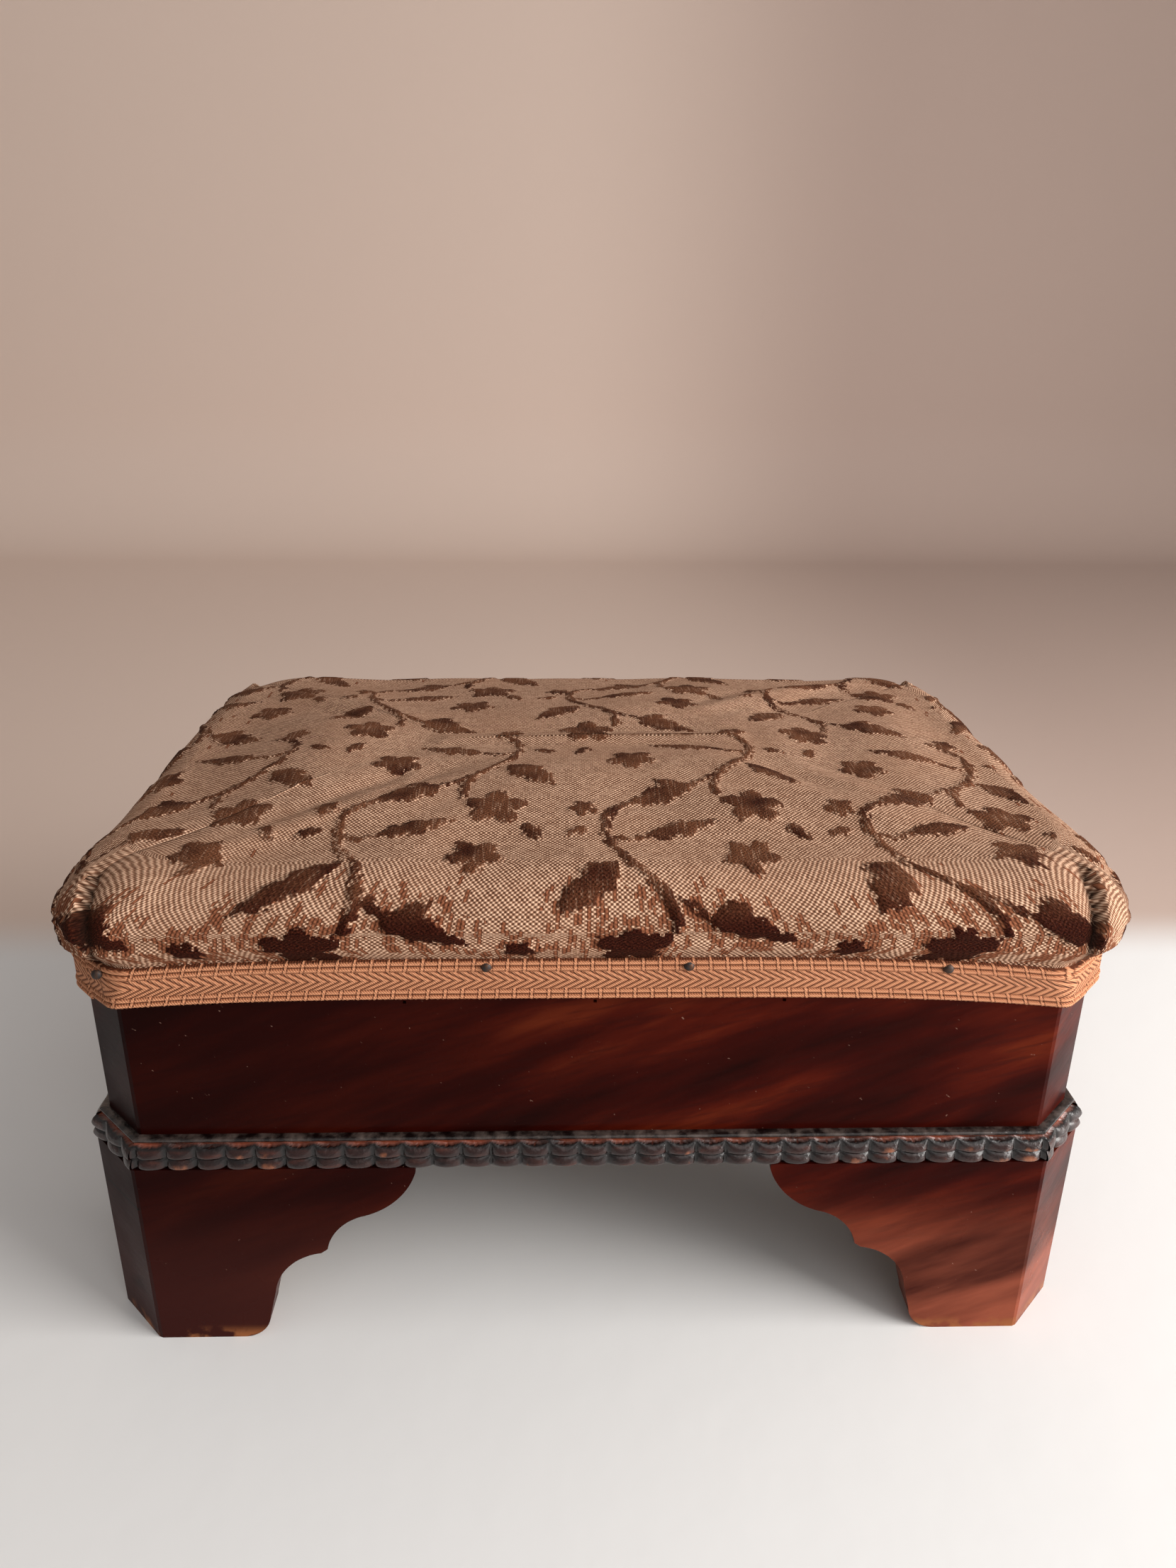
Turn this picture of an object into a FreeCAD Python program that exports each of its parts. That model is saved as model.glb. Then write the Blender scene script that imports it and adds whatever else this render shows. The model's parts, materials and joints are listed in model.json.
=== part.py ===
import FreeCAD, Part
import math
import os

# A low box footstool in mahogany. Eight mitred boards make a box with canted corners. It stands
# on ogee bracket feet that are set proud of it, and a carved moulding of two rows of beads hides
# the joint. The top is webbed, stuffed over the rails, covered in woven cloth and edged with braid.
# Millimetres. +Z is up, +Y points to the back, and the origin is on the floor under the middle.

# Box
box_width = 324.0
box_depth = 210.0
corner_cant_width = 15.0
rail_thickness = 16.0
rail_height = 66.0
arris_flat = 0.8
rasped_edge = 3.0
corner_block_width = 20.0
corner_block_height = 50.0

# Bracket feet: heights on the scrolled edge are above the floor
foot_height = 72.0
foot_projection = 5.0
bracket_thickness = 12.0
toe_height = 9.0
neck_height = 20.0
cusp_bottom_height = 36.8
cusp_top_height = 38.4
cove_top_height = 52.0
ovolo_top_height = 70.0
toe_bulge = 2.5
lower_cove_bulge = 4.0
upper_cove_bulge = 2.4
ovolo_bulge = 3.5
# Widths of the scrolled edge's members: sole, toe, neck, lower cove, cusp, upper cove, ovolo
front_members = (47.0, 9.5, 2.8, 16.7, 2.2, 11.8, 19.0)
side_members = (42.0, 8.5, 2.5, 12.5, 2.0, 9.0, 12.5)
foot_block_width = 18.0
foot_block_lift = 2.0

# Carved moulding: depths are outwards from the face of the box
lower_bead_height = 3.9
upper_bead_height = 4.3
quirk_height = 0.3
lip_height = 1.8
bead_crest = 6.2
bead_root = 4.6
bead_valley = 4.9
bead_pitch = 9.4
bead_cut_width = 5.2
bead_bevel = 1.2
lip_back = 2.9
lip_nose = 3.6
lip_bevel = 0.5

# Webbing and hessian
strap_width = 48.0
strap_thickness = 1.2
strap_ramp = 8.0
strap_fold = 10.0
strap_clearance = 0.4
lengthwise_straps = 2
crosswise_straps = 3
seat_inset = 3.5
hessian_thickness = 0.8
hem_width = 11.0

# Stuffed top: overhangs are outside the face of the box, drops and rises from the top of the rails
cover_thickness = 1.2
wadding_thickness = 4.0
soft_clearance = 0.3
hem_drop = 8.5
hollow_drop = 1.5
hollow_overhang = 3.2
tuck_rise = 8.0
tuck_overhang = 5.2
bulge_rise = 16.0
top_overhang = 10.6
shoulder_radius = 18.0
shoulder_sweep = 80.0
shoulder_steps = 5
crown_rise = 6.0
crown_steps = 4
seat_rise = 46.0
hem_corner_radius = 3.0
top_corner_radius = 31.0
corner_arc_share = 0.95
ridge_half_depth = 7.0
ridge_corner_radius = 5.0
cover_chords = 4
lining_chords = 2

# Gimp braid: its inner face's overhang at both edges
gimp_thickness = 1.4
gimp_drop = 8.0
gimp_width = 15.0
gimp_bottom_overhang = 2.0
gimp_top_overhang = 5.6

# Tacks and pins
tack_head_radius = 2.6
tack_head_height = 0.8
tack_shank_radius = 0.8
tack_tip_radius = 0.2
tack_length = 10.0
head_sides = 6
shank_sides = 4
strap_tacks = 2
strap_tack_spacing = 22.0
strap_tack_inset = 9.0
hessian_tack_inset = 9.5
cover_tack_spacing = 60.0
cover_tack_drop = 6.5
pin_head_radius = 1.3
pin_head_height = 0.6
pin_shank_radius = 0.5
pin_tip_radius = 0.15
pin_length = 12.0
pin_rise = 12.2
pin_slant = 35.0
long_side_pins = (-130.0, -33.0, 28.0, 107.0)
short_side_pins = (-48.0, 52.0)

# Worked out from these
rail_top = foot_height + rail_height
hem_height = rail_top - hem_drop
hollow_height = rail_top - hollow_drop
tuck_height = rail_top + tuck_rise
bulge_height = rail_top + bulge_rise
top_height = rail_top + seat_rise
gimp_bottom_height = rail_top - gimp_drop
gimp_top_height = gimp_bottom_height + gimp_width
cover_tack_height = rail_top - cover_tack_drop
pin_height = gimp_bottom_height + pin_rise
hessian_bottom = rail_top + 2 * strap_thickness
hessian_top = hessian_bottom + hessian_thickness
half_width = box_width / 2
half_depth = box_depth / 2
cant_share = 2 - math.sqrt(2)
sides = ("front", "front_right", "right", "back_right", "back", "back_left", "left", "front_left")
straight_sides = (0, 2, 4, 6)
canted_sides = (1, 3, 5, 7)
up = FreeCAD.Vector(0, 0, 1)


def save(shape, name):
    shape.exportStep(os.path.join("parts", name + ".step"))


def at_height(point, height):
    return FreeCAD.Vector(point.x, point.y, height)


def polygon_face(points):
    return Part.Face(Part.makePolygon(points + points[:1]))


def octagon(w, d, c):
    """Corners of a rectangle of half sizes w and d with corners cut by c, from the front left."""
    corners = [(-w + c, -d), (w - c, -d), (w, -d + c), (w, d - c),
               (w - c, d), (-w + c, d), (-w, d - c), (-w, -d + c)]
    return [FreeCAD.Vector(x, y, 0) for x, y in corners]


def plan(offset):
    """The box's outline moved outwards by offset."""
    return octagon(half_width + offset, half_depth + offset, corner_cant_width + cant_share * offset)


def side_line(side, offset):
    """Both ends of one side of the outline, and the unit vectors along it and outwards."""
    corners = plan(offset)
    start = corners[side % 8]
    end = corners[(side + 1) % 8]
    along = (end - start).normalize()
    outwards = along.cross(up)
    return start, end, along, outwards


def prism(points, bottom, height):
    """Upright solid on a plan outline."""
    return polygon_face([at_height(p, bottom) for p in points]).extrude(up * height)


# Box and feet


def board(side, outer, thickness, bottom, height):
    """Board mitred to both neighbours, with a narrow worn flat along its upright edges."""
    start, end, along, _ = side_line(side, outer)
    before = side_line(side - 1, outer)[2]
    after = side_line(side + 1, outer)[2]
    inner_start, inner_end, _, _ = side_line(side, outer - thickness)
    start_middle = start + (along - before) * (arris_flat / 2)
    end_middle = end + (after - along) * (arris_flat / 2)
    outline = [start + along * arris_flat, end - along * arris_flat, end_middle,
               inner_end, inner_start, start_middle]
    return prism(outline, bottom, height)


def rasped_ring():
    """What the rasp takes off the top outer edge of the box."""
    bottom = rail_top - rasped_edge
    rings = [[at_height(p, bottom) for p in plan(0)],
             [at_height(p, rail_top) for p in plan(-rasped_edge)]]
    kept = Part.makeLoft([Part.makePolygon(ring + ring[:1]) for ring in rings], True, True)
    return prism(plan(rasped_edge), bottom, rasped_edge).cut(kept)


def glue_block(side, offset, width, bottom, height):
    """Block in the angle behind a canted board, glued to both neighbouring boards."""
    start, end, _, _ = side_line(side, offset)
    before = side_line(side - 1, offset)[2]
    after = side_line(side + 1, offset)[2]
    first = start - before * width
    last = end + after * width
    inner = first + after * (last - first).dot(after)
    return prism([first, start, end, last, inner], bottom, height)


def scrolled_edge(members, place):
    """Edges of a bracket's face. place turns a distance from the foot's end and a height
    into a point."""
    heights = (0, toe_height, neck_height, cusp_bottom_height, cusp_top_height,
               cove_top_height, ovolo_top_height)
    bulges = (toe_bulge, 0, -lower_cove_bulge, 0, -upper_cove_bulge, ovolo_bulge)
    reach = 0.0
    points = []
    for width, height in zip(members, heights):
        reach += width
        points.append((reach, height))
    edges = []
    for (r0, z0), (r1, z1), bulge in zip(points, points[1:], bulges):
        if bulge == 0:
            edges.append(Part.makeLine(place(r0, z0), place(r1, z1)))
            continue
        chord = math.hypot(r1 - r0, z1 - z0)
        middle = place((r0 + r1) / 2 + bulge * (z1 - z0) / chord,
                       (z0 + z1) / 2 - bulge * (r1 - r0) / chord)
        edges.append(Part.Arc(place(r0, z0), middle, place(r1, z1)).toShape())
    corners = [place(*points[-1]), place(reach, foot_height), place(0, foot_height),
               place(0, 0), place(*points[0])]
    edges += [Part.makeLine(a, b) for a, b in zip(corners, corners[1:])]
    return edges


def bracket(side, members, from_start):
    """Bracket at one end of a side of the feet, scrolled towards the middle of that side."""
    start, end, along, outwards = side_line(side, foot_projection)
    cut = corner_cant_width + cant_share * foot_projection
    inwards = along if from_start else -along
    origin = (start if from_start else end) - inwards * cut

    def place(reach, height):
        return at_height(origin + inwards * reach, height)

    face = Part.Face(Part.Wire(scrolled_edge(members, place)))
    slab = face.extrude(-outwards * bracket_thickness)
    return slab.common(board(side, foot_projection, bracket_thickness, 0, foot_height))


# Carved moulding


def moulding_profile(origin, outwards):
    """Section of the moulding: two rows of bevelled beads under a small bevelled lip."""
    middle = lower_bead_height
    bead_top = middle + upper_bead_height
    lip_bottom = bead_top + quirk_height
    points = [(0, moulding_height), (0, 0)]
    for low, high in ((0, middle), (middle, bead_top)):
        points += [(bead_root, low), (bead_crest, low + bead_bevel), (bead_crest, high - bead_bevel)]
    points += [(bead_root, bead_top), (lip_back, lip_bottom), (lip_nose, lip_bottom + lip_bevel),
               (lip_nose, moulding_height - lip_bevel), (lip_back, moulding_height)]
    return polygon_face([origin + outwards * d + up * (foot_height + z) for d, z in points])


def bead_cuts(side):
    """V-shaped cuts that part the beads of both rows, evenly about the middle of one side."""
    start, end, along, outwards = side_line(side, bead_crest)
    count = int((end - start).Length / bead_pitch) + 1
    depth = bead_crest - bead_valley
    cuts = []
    for i in range(count):
        middle = (start + end) * 0.5 + along * ((i - (count - 1) / 2) * bead_pitch)
        bottom = middle - outwards * depth
        rim = middle + outwards * depth
        mouth = along * bead_cut_width
        outline = [bottom, rim + mouth, rim - mouth]
        cuts.append(prism(outline, foot_height, lower_bead_height + upper_bead_height))
    return Part.makeCompound(cuts)


def moulding(side):
    """Strip of carved moulding on one side of the box, mitred at both ends."""
    start, end, along, outwards = side_line(side, 0)
    margin = along * bead_crest
    strip = moulding_profile(start - margin, outwards).extrude(end - start + margin * 2)
    outer_start, outer_end, _, _ = side_line(side, 2 * bead_crest)
    mitre = prism([start, outer_start, outer_end, end], foot_height, moulding_height)
    return strip.common(mitre).cut(bead_cuts(side))


# Webbing and hessian


def spread(span, count):
    """Middles of equal shares of a span about 0."""
    return [span * ((i + 0.5) / count - 0.5) for i in range(count)]


def strap(half_length, crossings):
    """Side view of a strap as points along it and up: both ends are folded back, and it rises
    over the straps that it crosses on top of."""
    rise = strap_thickness
    reach = strap_width / 2 + strap_clearance
    underside = [(-half_length, 0)]
    for place in crossings:
        underside += [(place - reach - strap_ramp, 0), (place - reach, rise),
                      (place + reach, rise), (place + reach + strap_ramp, 0)]
    underside.append((half_length, 0))
    upper = [(s, z + strap_thickness) for s, z in underside[1:-1]]
    fold = half_length - strap_fold
    top = 2 * strap_thickness
    upper = [(-half_length, top), (-fold, top), (-fold, strap_thickness)] + upper
    upper += [(fold, strap_thickness), (fold, top), (half_length, top)]
    return underside + upper[::-1]


def straps(count, others, half_length, span, other_span, lengthwise):
    """One set of straps on top of the rails, over and under the other set in turn."""
    solids = []
    for i, middle in enumerate(spread(span, count)):
        over = [p for j, p in enumerate(spread(other_span, others)) if (i + j) % 2 == lengthwise]
        points = []
        for s, z in strap(half_length, over):
            x, y = (s, middle) if lengthwise else (middle, s)
            points.append(FreeCAD.Vector(x, y, rail_top + z))
        across = FreeCAD.Vector(0, strap_width, 0) if lengthwise else FreeCAD.Vector(strap_width, 0, 0)
        face = polygon_face(points)
        face.translate(across * -0.5)
        solids.append(face.extrude(across))
    return solids


def hessian():
    """Base cloth over the webbing, with its turned hem on the rails between the strap ends."""
    sheet = prism(plan(-seat_inset), hessian_bottom, hessian_thickness)
    hem = prism(plan(-seat_inset), rail_top, hessian_bottom - rail_top)
    hem = hem.cut(prism(plan(-seat_inset - hem_width), rail_top, hessian_bottom - rail_top))
    gap = strap_width + 2 * strap_clearance
    for places, along_x in ((crosswise_places, True), (lengthwise_places, False)):
        for place in places:
            size = (gap, box_depth) if along_x else (box_width, gap)
            middle = (place, 0) if along_x else (0, place)
            slot = Part.makeBox(size[0], size[1], hessian_bottom - rail_top)
            slot.translate(FreeCAD.Vector(middle[0] - size[0] / 2, middle[1] - size[1] / 2, rail_top))
            hem = hem.cut(slot)
    return sheet.fuse(hem).removeSplitter()


# Stuffed top


def soft_outline(section, chords):
    """Points round the box at a height, with each corner's two bends cut to a number of chords."""
    overhang, height, cant, radius = section
    corners = octagon(half_width + overhang, half_depth + overhang, cant)
    points = []
    for i in range(8):
        before = (corners[i] - corners[i - 1]).normalize()
        after = (corners[(i + 1) % 8] - corners[i]).normalize()
        along = (before + after).normalize()
        outwards = along.cross(up)
        middle = corners[i] - outwards * (radius / math.cos(math.pi / 8))
        for step in range(chords + 1):
            turn = (step / chords - 0.5) * math.pi / 4
            ray = outwards * math.cos(turn) + along * math.sin(turn)
            points.append(at_height(middle + ray * radius, height))
    return points


def wire(points):
    return Part.makePolygon(points + points[:1])


def walls(outlines):
    """Flat faces from each outline to the next."""
    faces = []
    for low, high in zip(outlines, outlines[1:]):
        for i in range(len(low)):
            faces.append(polygon_face([low[i - 1], low[i], high[i], high[i - 1]]))
    return faces


def form(outlines):
    """Closed solid through all the outlines."""
    base = Part.Face(wire(outlines[0])).reversed()
    shell = Part.makeShell(walls(outlines) + [base, Part.Face(wire(outlines[-1]))])
    shell.sewShape()
    return Part.makeSolid(shell)


def soft_profile():
    """Edge of the stuffed top as overhang, height, corner cut and corner arc, upwards."""
    hem_overhang = soft_clearance + cover_thickness
    round_cant = cant_share * top_corner_radius
    round_arc = top_corner_radius * corner_arc_share
    hem_cant = corner_cant_width + cant_share * hem_overhang
    points = [(hem_overhang, hem_height, hem_cant, hem_corner_radius)]
    for overhang, height in ((hollow_overhang, hollow_height), (tuck_overhang, tuck_height)):
        share = (height - hem_height) / (bulge_height - hem_height)
        points.append((overhang, height, hem_cant + (round_cant - hem_cant) * share,
                       hem_corner_radius + (round_arc - hem_corner_radius) * share))
    points.append((top_overhang, bulge_height, round_cant, round_arc))
    middle = top_height - crown_rise - shoulder_radius
    for step in range(shoulder_steps):
        turn = math.radians(shoulder_sweep) * (step + 1) / shoulder_steps
        points.append((top_overhang - shoulder_radius * (1 - math.cos(turn)),
                       middle + shoulder_radius * math.sin(turn), round_cant, round_arc))
    edge, edge_height, _, _ = points[-1]
    ridge = ridge_half_depth - half_depth
    for step in range(crown_steps):
        share = (step + 1) / crown_steps
        radius = top_corner_radius + (ridge_corner_radius - top_corner_radius) * share
        points.append((edge + (ridge - edge) * share,
                       top_height - (top_height - edge_height) * (1 - share) ** 2,
                       cant_share * radius, radius * corner_arc_share))
    return points


def inset_profile(inset):
    """The stuffed top's edge moved inwards by inset, square to itself."""
    profile = soft_profile()
    moved = []
    for i, (overhang, height, cant, arc) in enumerate(profile):
        before = profile[max(i - 1, 0)]
        after = profile[min(i + 1, len(profile) - 1)]
        run = after[0] - before[0]
        rise = after[1] - before[1]
        length = math.hypot(run, rise)
        inwards = -inset * rise / length
        lift = inset * run / length
        if i == 0:
            inwards, lift = -inset, -inset
        if i == len(profile) - 1:
            inwards, lift = 0.0, -inset
        moved.append((overhang + inwards, height + lift, cant + cant_share * inwards, arc))
    return moved


def soft_outlines(inset, bottom, chords):
    """Outlines of the stuffed top, moved inwards by inset, from the height bottom upwards."""
    points = inset_profile(inset)
    upper = [p for p in points if p[1] > bottom + soft_clearance]
    low = points[len(points) - len(upper) - 1]
    share = (bottom - low[1]) / (upper[0][1] - low[1])
    first = [a + (b - a) * share for a, b in zip(low, upper[0])]
    return [soft_outline(section, chords) for section in [first] + upper]


def cover():
    """Woven cover: drawn in under the braid, then swelling over the shoulder to the crown."""
    outer = form(soft_outlines(0, hem_height, cover_chords))
    return outer.cut(form(soft_outlines(cover_thickness, hem_height, lining_chords)))


def wadding():
    inset = cover_thickness + soft_clearance
    outer = form(soft_outlines(inset, hessian_top, lining_chords))
    return outer.cut(form(soft_outlines(inset + wadding_thickness, hessian_top, lining_chords)))


def stuffing():
    inset = cover_thickness + wadding_thickness + 2 * soft_clearance
    return form(soft_outlines(inset, hessian_top, lining_chords))


def gimp():
    """Braid all round, leaning out under the bulge of the top."""
    forms = []
    for extra in (gimp_thickness, 0):
        rings = [[at_height(p, gimp_bottom_height) for p in plan(gimp_bottom_overhang + extra)],
                 [at_height(p, gimp_top_height) for p in plan(gimp_top_overhang + extra)]]
        forms.append(Part.makeLoft([Part.makePolygon(r + r[:1]) for r in rings], True, True))
    return forms[0].cut(forms[1])


# Tacks and pins


def spike(point, into, head_radius, head_height, shank_radius, tip_radius, length):
    """Nail with the top of its six-sided head at point, on a square shank that tapers to its tip."""
    side = FreeCAD.Vector(into.y, into.z, into.x).cross(into).normalize()
    other = into.cross(side)

    def ring(count, radius, depth):
        turns = [math.pi * (2 * i + 1) / count for i in range(count)]
        middle = point + into * depth
        return [middle + side * (radius * math.cos(t)) + other * (radius * math.sin(t)) for t in turns]

    head = polygon_face(ring(head_sides, head_radius, 0)).extrude(into * head_height)
    ends = [ring(shank_sides, shank_radius, head_height), ring(shank_sides, tip_radius, length)]
    shank = Part.makeLoft([Part.makePolygon(r + r[:1]) for r in ends], True, True)
    return head.fuse(shank)


def tack(point, into):
    return spike(point, into, tack_head_radius, tack_head_height, tack_shank_radius, tack_tip_radius,
                 tack_length)


def pin(point, into):
    return spike(point, into, pin_head_radius, pin_head_height, pin_shank_radius, pin_tip_radius,
                 pin_length)


def strap_end_tacks():
    tacks = []
    for places, half_length, lengthwise in ((lengthwise_places, half_width, True),
                                            (crosswise_places, half_depth, False)):
        for place in places:
            for step in range(strap_tacks):
                across = place + (step - (strap_tacks - 1) / 2) * strap_tack_spacing
                for end in (half_length - strap_tack_inset, strap_tack_inset - half_length):
                    x, y = (end, across) if lengthwise else (across, end)
                    tacks.append(tack(FreeCAD.Vector(x, y, hessian_bottom), -up))
    return tacks


def hessian_edge_tacks():
    """Tacks through the hem, half-way between the straps on each rail."""
    tacks = []
    for span, count, edge, along_x in ((inner_width, crosswise_straps, half_depth, True),
                                       (inner_depth, lengthwise_straps, half_width, False)):
        for i in range(1, count):
            place = span * (i / count - 0.5)
            for end in (edge - hessian_tack_inset, hessian_tack_inset - edge):
                x, y = (place, end) if along_x else (end, place)
                tacks.append(tack(FreeCAD.Vector(x, y, hessian_top), -up))
    return tacks


def cover_edge_tacks():
    """Tacks through the cover's lower edge into the outer faces of the box, under the braid."""
    tacks = []
    for side in range(8):
        start, end, along, outwards = side_line(side, soft_clearance + cover_thickness)
        length = (end - start).Length
        for place in spread(length, max(1, round(length / cover_tack_spacing))):
            point = at_height((start + end) * 0.5 + along * place, cover_tack_height)
            tacks.append(tack(point, -outwards))
    return tacks


def braid_pins():
    """Pins through the braid, driven inwards and down into the rasped edge of the rails."""
    pins = []
    share = (pin_height - gimp_bottom_height) / (gimp_top_height - gimp_bottom_height)
    face = gimp_bottom_overhang + (gimp_top_overhang - gimp_bottom_overhang) * share + gimp_thickness
    for side in straight_sides:
        start, end, along, outwards = side_line(side, face)
        slant = math.radians(pin_slant)
        into = -outwards * math.cos(slant) - up * math.sin(slant)
        places = long_side_pins if side in (0, 4) else short_side_pins
        for place in places:
            pins.append(pin(at_height((start + end) * 0.5 + along * place, pin_height), into))
    return pins


moulding_height = lower_bead_height + upper_bead_height + quirk_height + lip_height
inner_width = box_width - 2 * rail_thickness
inner_depth = box_depth - 2 * rail_thickness
lengthwise_places = spread(inner_depth, lengthwise_straps)
crosswise_places = spread(inner_width, crosswise_straps)

os.makedirs("parts", exist_ok=True)

webbing_tacks = Part.makeCompound(strap_end_tacks())
hessian_tacks = Part.makeCompound(hessian_edge_tacks())
cover_tacks = Part.makeCompound(cover_edge_tacks())
gimp_pins = Part.makeCompound(braid_pins())
fasteners = [webbing_tacks, hessian_tacks, cover_tacks, gimp_pins]
for group, name in zip(fasteners, ("webbing_tacks", "hessian_tacks", "cover_tacks", "gimp_pins")):
    save(group, name)

rasped = rasped_ring()
for side in range(8):
    name = sides[side]
    kind = "rail" if side in straight_sides else "stile"
    wood = board(side, 0, rail_thickness, foot_height, rail_height).cut(rasped)
    save(wood.cut(Part.makeCompound(fasteners)), name + "_" + kind)
    save(moulding(side), name + "_moulding")

for side in canted_sides:
    name = sides[side]
    save(glue_block(side, -rail_thickness, corner_block_width, foot_height, corner_block_height),
         name + "_corner_block")
    save(board(side, foot_projection, bracket_thickness, 0, foot_height), name + "_canted_foot")
    save(glue_block(side, foot_projection - bracket_thickness, foot_block_width,
                    foot_block_lift, foot_height - foot_block_lift), name + "_foot_block")

brackets = ((0, front_members, ("left", "right")), (2, side_members, ("front", "back")),
            (4, front_members, ("right", "left")), (6, side_members, ("back", "front")))
for side, members, ends in brackets:
    for end, from_start in zip(ends, (True, False)):
        save(bracket(side, members, from_start), sides[side] + "_bracket_" + end)

lengthwise = straps(lengthwise_straps, crosswise_straps, half_width - seat_inset,
                    inner_depth, inner_width, True)
crosswise = straps(crosswise_straps, lengthwise_straps, half_depth - seat_inset,
                   inner_width, inner_depth, False)
save(Part.makeCompound([s.cut(webbing_tacks) for s in lengthwise]), "webbing_lengthwise")
save(Part.makeCompound([s.cut(webbing_tacks) for s in crosswise]), "webbing_crosswise")
save(hessian().cut(hessian_tacks), "hessian")

save(cover().cut(Part.makeCompound([cover_tacks, gimp_pins])), "cover")
save(wadding(), "wadding")
save(stuffing(), "stuffing")
save(gimp().cut(gimp_pins), "gimp_braid")
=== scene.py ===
import json
import math
import bpy
import numpy as np
from mathutils import Matrix, Vector, noise


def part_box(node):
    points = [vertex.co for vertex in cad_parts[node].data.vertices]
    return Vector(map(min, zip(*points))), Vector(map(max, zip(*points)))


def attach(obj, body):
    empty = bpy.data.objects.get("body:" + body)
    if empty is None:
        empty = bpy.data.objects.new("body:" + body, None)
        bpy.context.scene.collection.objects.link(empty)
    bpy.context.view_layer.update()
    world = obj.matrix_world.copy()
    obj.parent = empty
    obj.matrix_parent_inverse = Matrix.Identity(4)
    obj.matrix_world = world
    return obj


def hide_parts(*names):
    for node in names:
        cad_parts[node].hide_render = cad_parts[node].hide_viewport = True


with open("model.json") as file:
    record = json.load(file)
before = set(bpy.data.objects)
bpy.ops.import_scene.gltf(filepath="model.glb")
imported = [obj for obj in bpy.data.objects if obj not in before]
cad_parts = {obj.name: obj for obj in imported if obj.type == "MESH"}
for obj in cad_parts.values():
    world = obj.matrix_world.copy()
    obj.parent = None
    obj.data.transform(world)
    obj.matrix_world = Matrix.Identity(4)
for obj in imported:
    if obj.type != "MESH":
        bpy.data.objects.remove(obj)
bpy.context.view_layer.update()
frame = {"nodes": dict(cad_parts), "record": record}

# A box footstool of dark polished mahogany with a worn, flowered pile cover. Lengths are in
# millimetres and go to metres where a mesh is made. The front is at -Y and the floor at Z 0.
MM = 0.001

# Box and feet, from the frame
half_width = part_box("right_rail")[1][0] / MM
half_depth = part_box("back_rail")[1][1] / MM
cant = half_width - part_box("front_rail")[1][0] / MM
foot_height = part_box("front_bracket_left")[1][2] / MM
rail_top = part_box("front_rail")[1][2] / MM
top_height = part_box("cover")[1][2] / MM
cover_half_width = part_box("cover")[1][0] / MM
cant_share = 2 - math.sqrt(2)

# Stuffed top
seat_overhang = cover_half_width - half_width
swell = 1.2
shoulder_radius = 18.0
crown_rise = 5.6
bulge_height = 157.0
top_corner_radius = 30.0
side_corner_radius = 21.0
hem_corner_radius = 3.0
lump_height = 1.7
lump_size = 42.0
pile_height = 0.9
cloth_pitch = 1.5
float_width = 1.15
float_length = 4.6
swell_cap = 3.0
seat_narrower = 3.8
hem_narrower = 2.8
seat_shift = 1.0
hem_overhang = 2.0
corner_round = 0.95
ridge_half_depth = 0.6
ridge_corner_radius = 0.4
seat_pitch = 1.3
simulation_pitch = 6.0
simulation_frames = 20

# Corner folds: a rolled edge with a dark slot beside it
fold_place = half_width - cant + 3.0
fold_roll = 3.4
fold_roll_reach = 9.0
fold_dip = 2.4
fold_dip_reach = 3.0
fold_edge = 0.4
fold_slot_width = 1.2

# Heights between which the top of the cover gets worn, and its pile pressed down
worn_heights = (160.0, 177.0)
pressed_heights = (166.0, 178.0)

# Braid: the lower edge sits highest near the middle of each side
braid_low = 129.0
braid_bow = 5.6
braid_shift = 8.0
braid_width = 15.0
braid_lower_overhang = 3.2
braid_upper_overhang = 5.7
braid_lower_narrower = 0.8
braid_upper_narrower = 2.0
braid_thickness = 1.4
braid_lower_radius = 6.0
braid_upper_radius = 16.0
braid_upper_cut = 2.0
cord_relief = 0.8
plait_relief = 0.4
picot_relief = 0.35
plait_share = 0.45
cord_band = (0.42, 0.48)
stitch_pitch = 5.3
chevron_pitch = 3.2
chevron_slope = 1.7
picot_pitch = 1.6

# Pins: their places along the sides, and the radius and rise of their domed heads
front_pins = (-150.0, -33.0, 28.0, 107.0)
side_pins = (-48.0, 52.0)
pin_dome = ((1.7, 0.0), (1.4, 0.7), (0.6, 1.1))
pin_sides = 10
pin_seat = 0.2
pin_drop = 2.2
corner_pin_inset = 2.5

# Edges of the boards
worn_edge_width = 0.45

# Carved moulding
bead_pitch = 9.4
lower_bead = 4.1
upper_bead = 4.6
lip_height = 1.6
bead_depth = 6.4
groove_depth = 3.6
recess_depth = 2.6
recess_sag = 0.8
lip_depth = 2.9
lip_gap = 0.4
carving_pitch = 0.45
carving_levels = 44

# Webbing and hessian
rail_thickness = 16.0
strap_counts = {"webbing_lengthwise": 2, "webbing_crosswise": 3}
strap_width = 48.0
strap_thickness = 1.2
strap_ramp = 8.0
strap_stations = 25
hessian_thickness = 0.7
hessian_drop = 0.8
hessian_stations = (106, 68)

# Flowered pattern: sprays stand in rows, and every second row is turned over
spray_pitch = 85.0
spray_rows = ((-69.0, 6.0, 1), (-3.0, -30.0, -1), (69.0, -4.0, 1), (133.0, -38.0, -1))
spray_columns = range(-3, 4)
spray_middle = 10.0
spray_half_width = 70.0
spray_heights = (-85.0, 20.0)
far_from_sprays = 30.0

# Camera as the photograph was taken
camera_place = (-11.2, -406.9, 324.7)
camera_yaw = 1.59
camera_pitch = 21.77
camera_roll = -0.51
camera_lens = 26.04
camera_sensor = 36.0


# Nodes


def add(tree, kind, inputs=(), **settings):
    node = tree.nodes.new(kind)
    for key, value in settings.items():
        setattr(node, key, value)
    for key, value in dict(inputs).items():
        if isinstance(value, bpy.types.NodeSocket):
            tree.links.new(value, node.inputs[key])
        else:
            node.inputs[key].default_value = value
    return node


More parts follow.
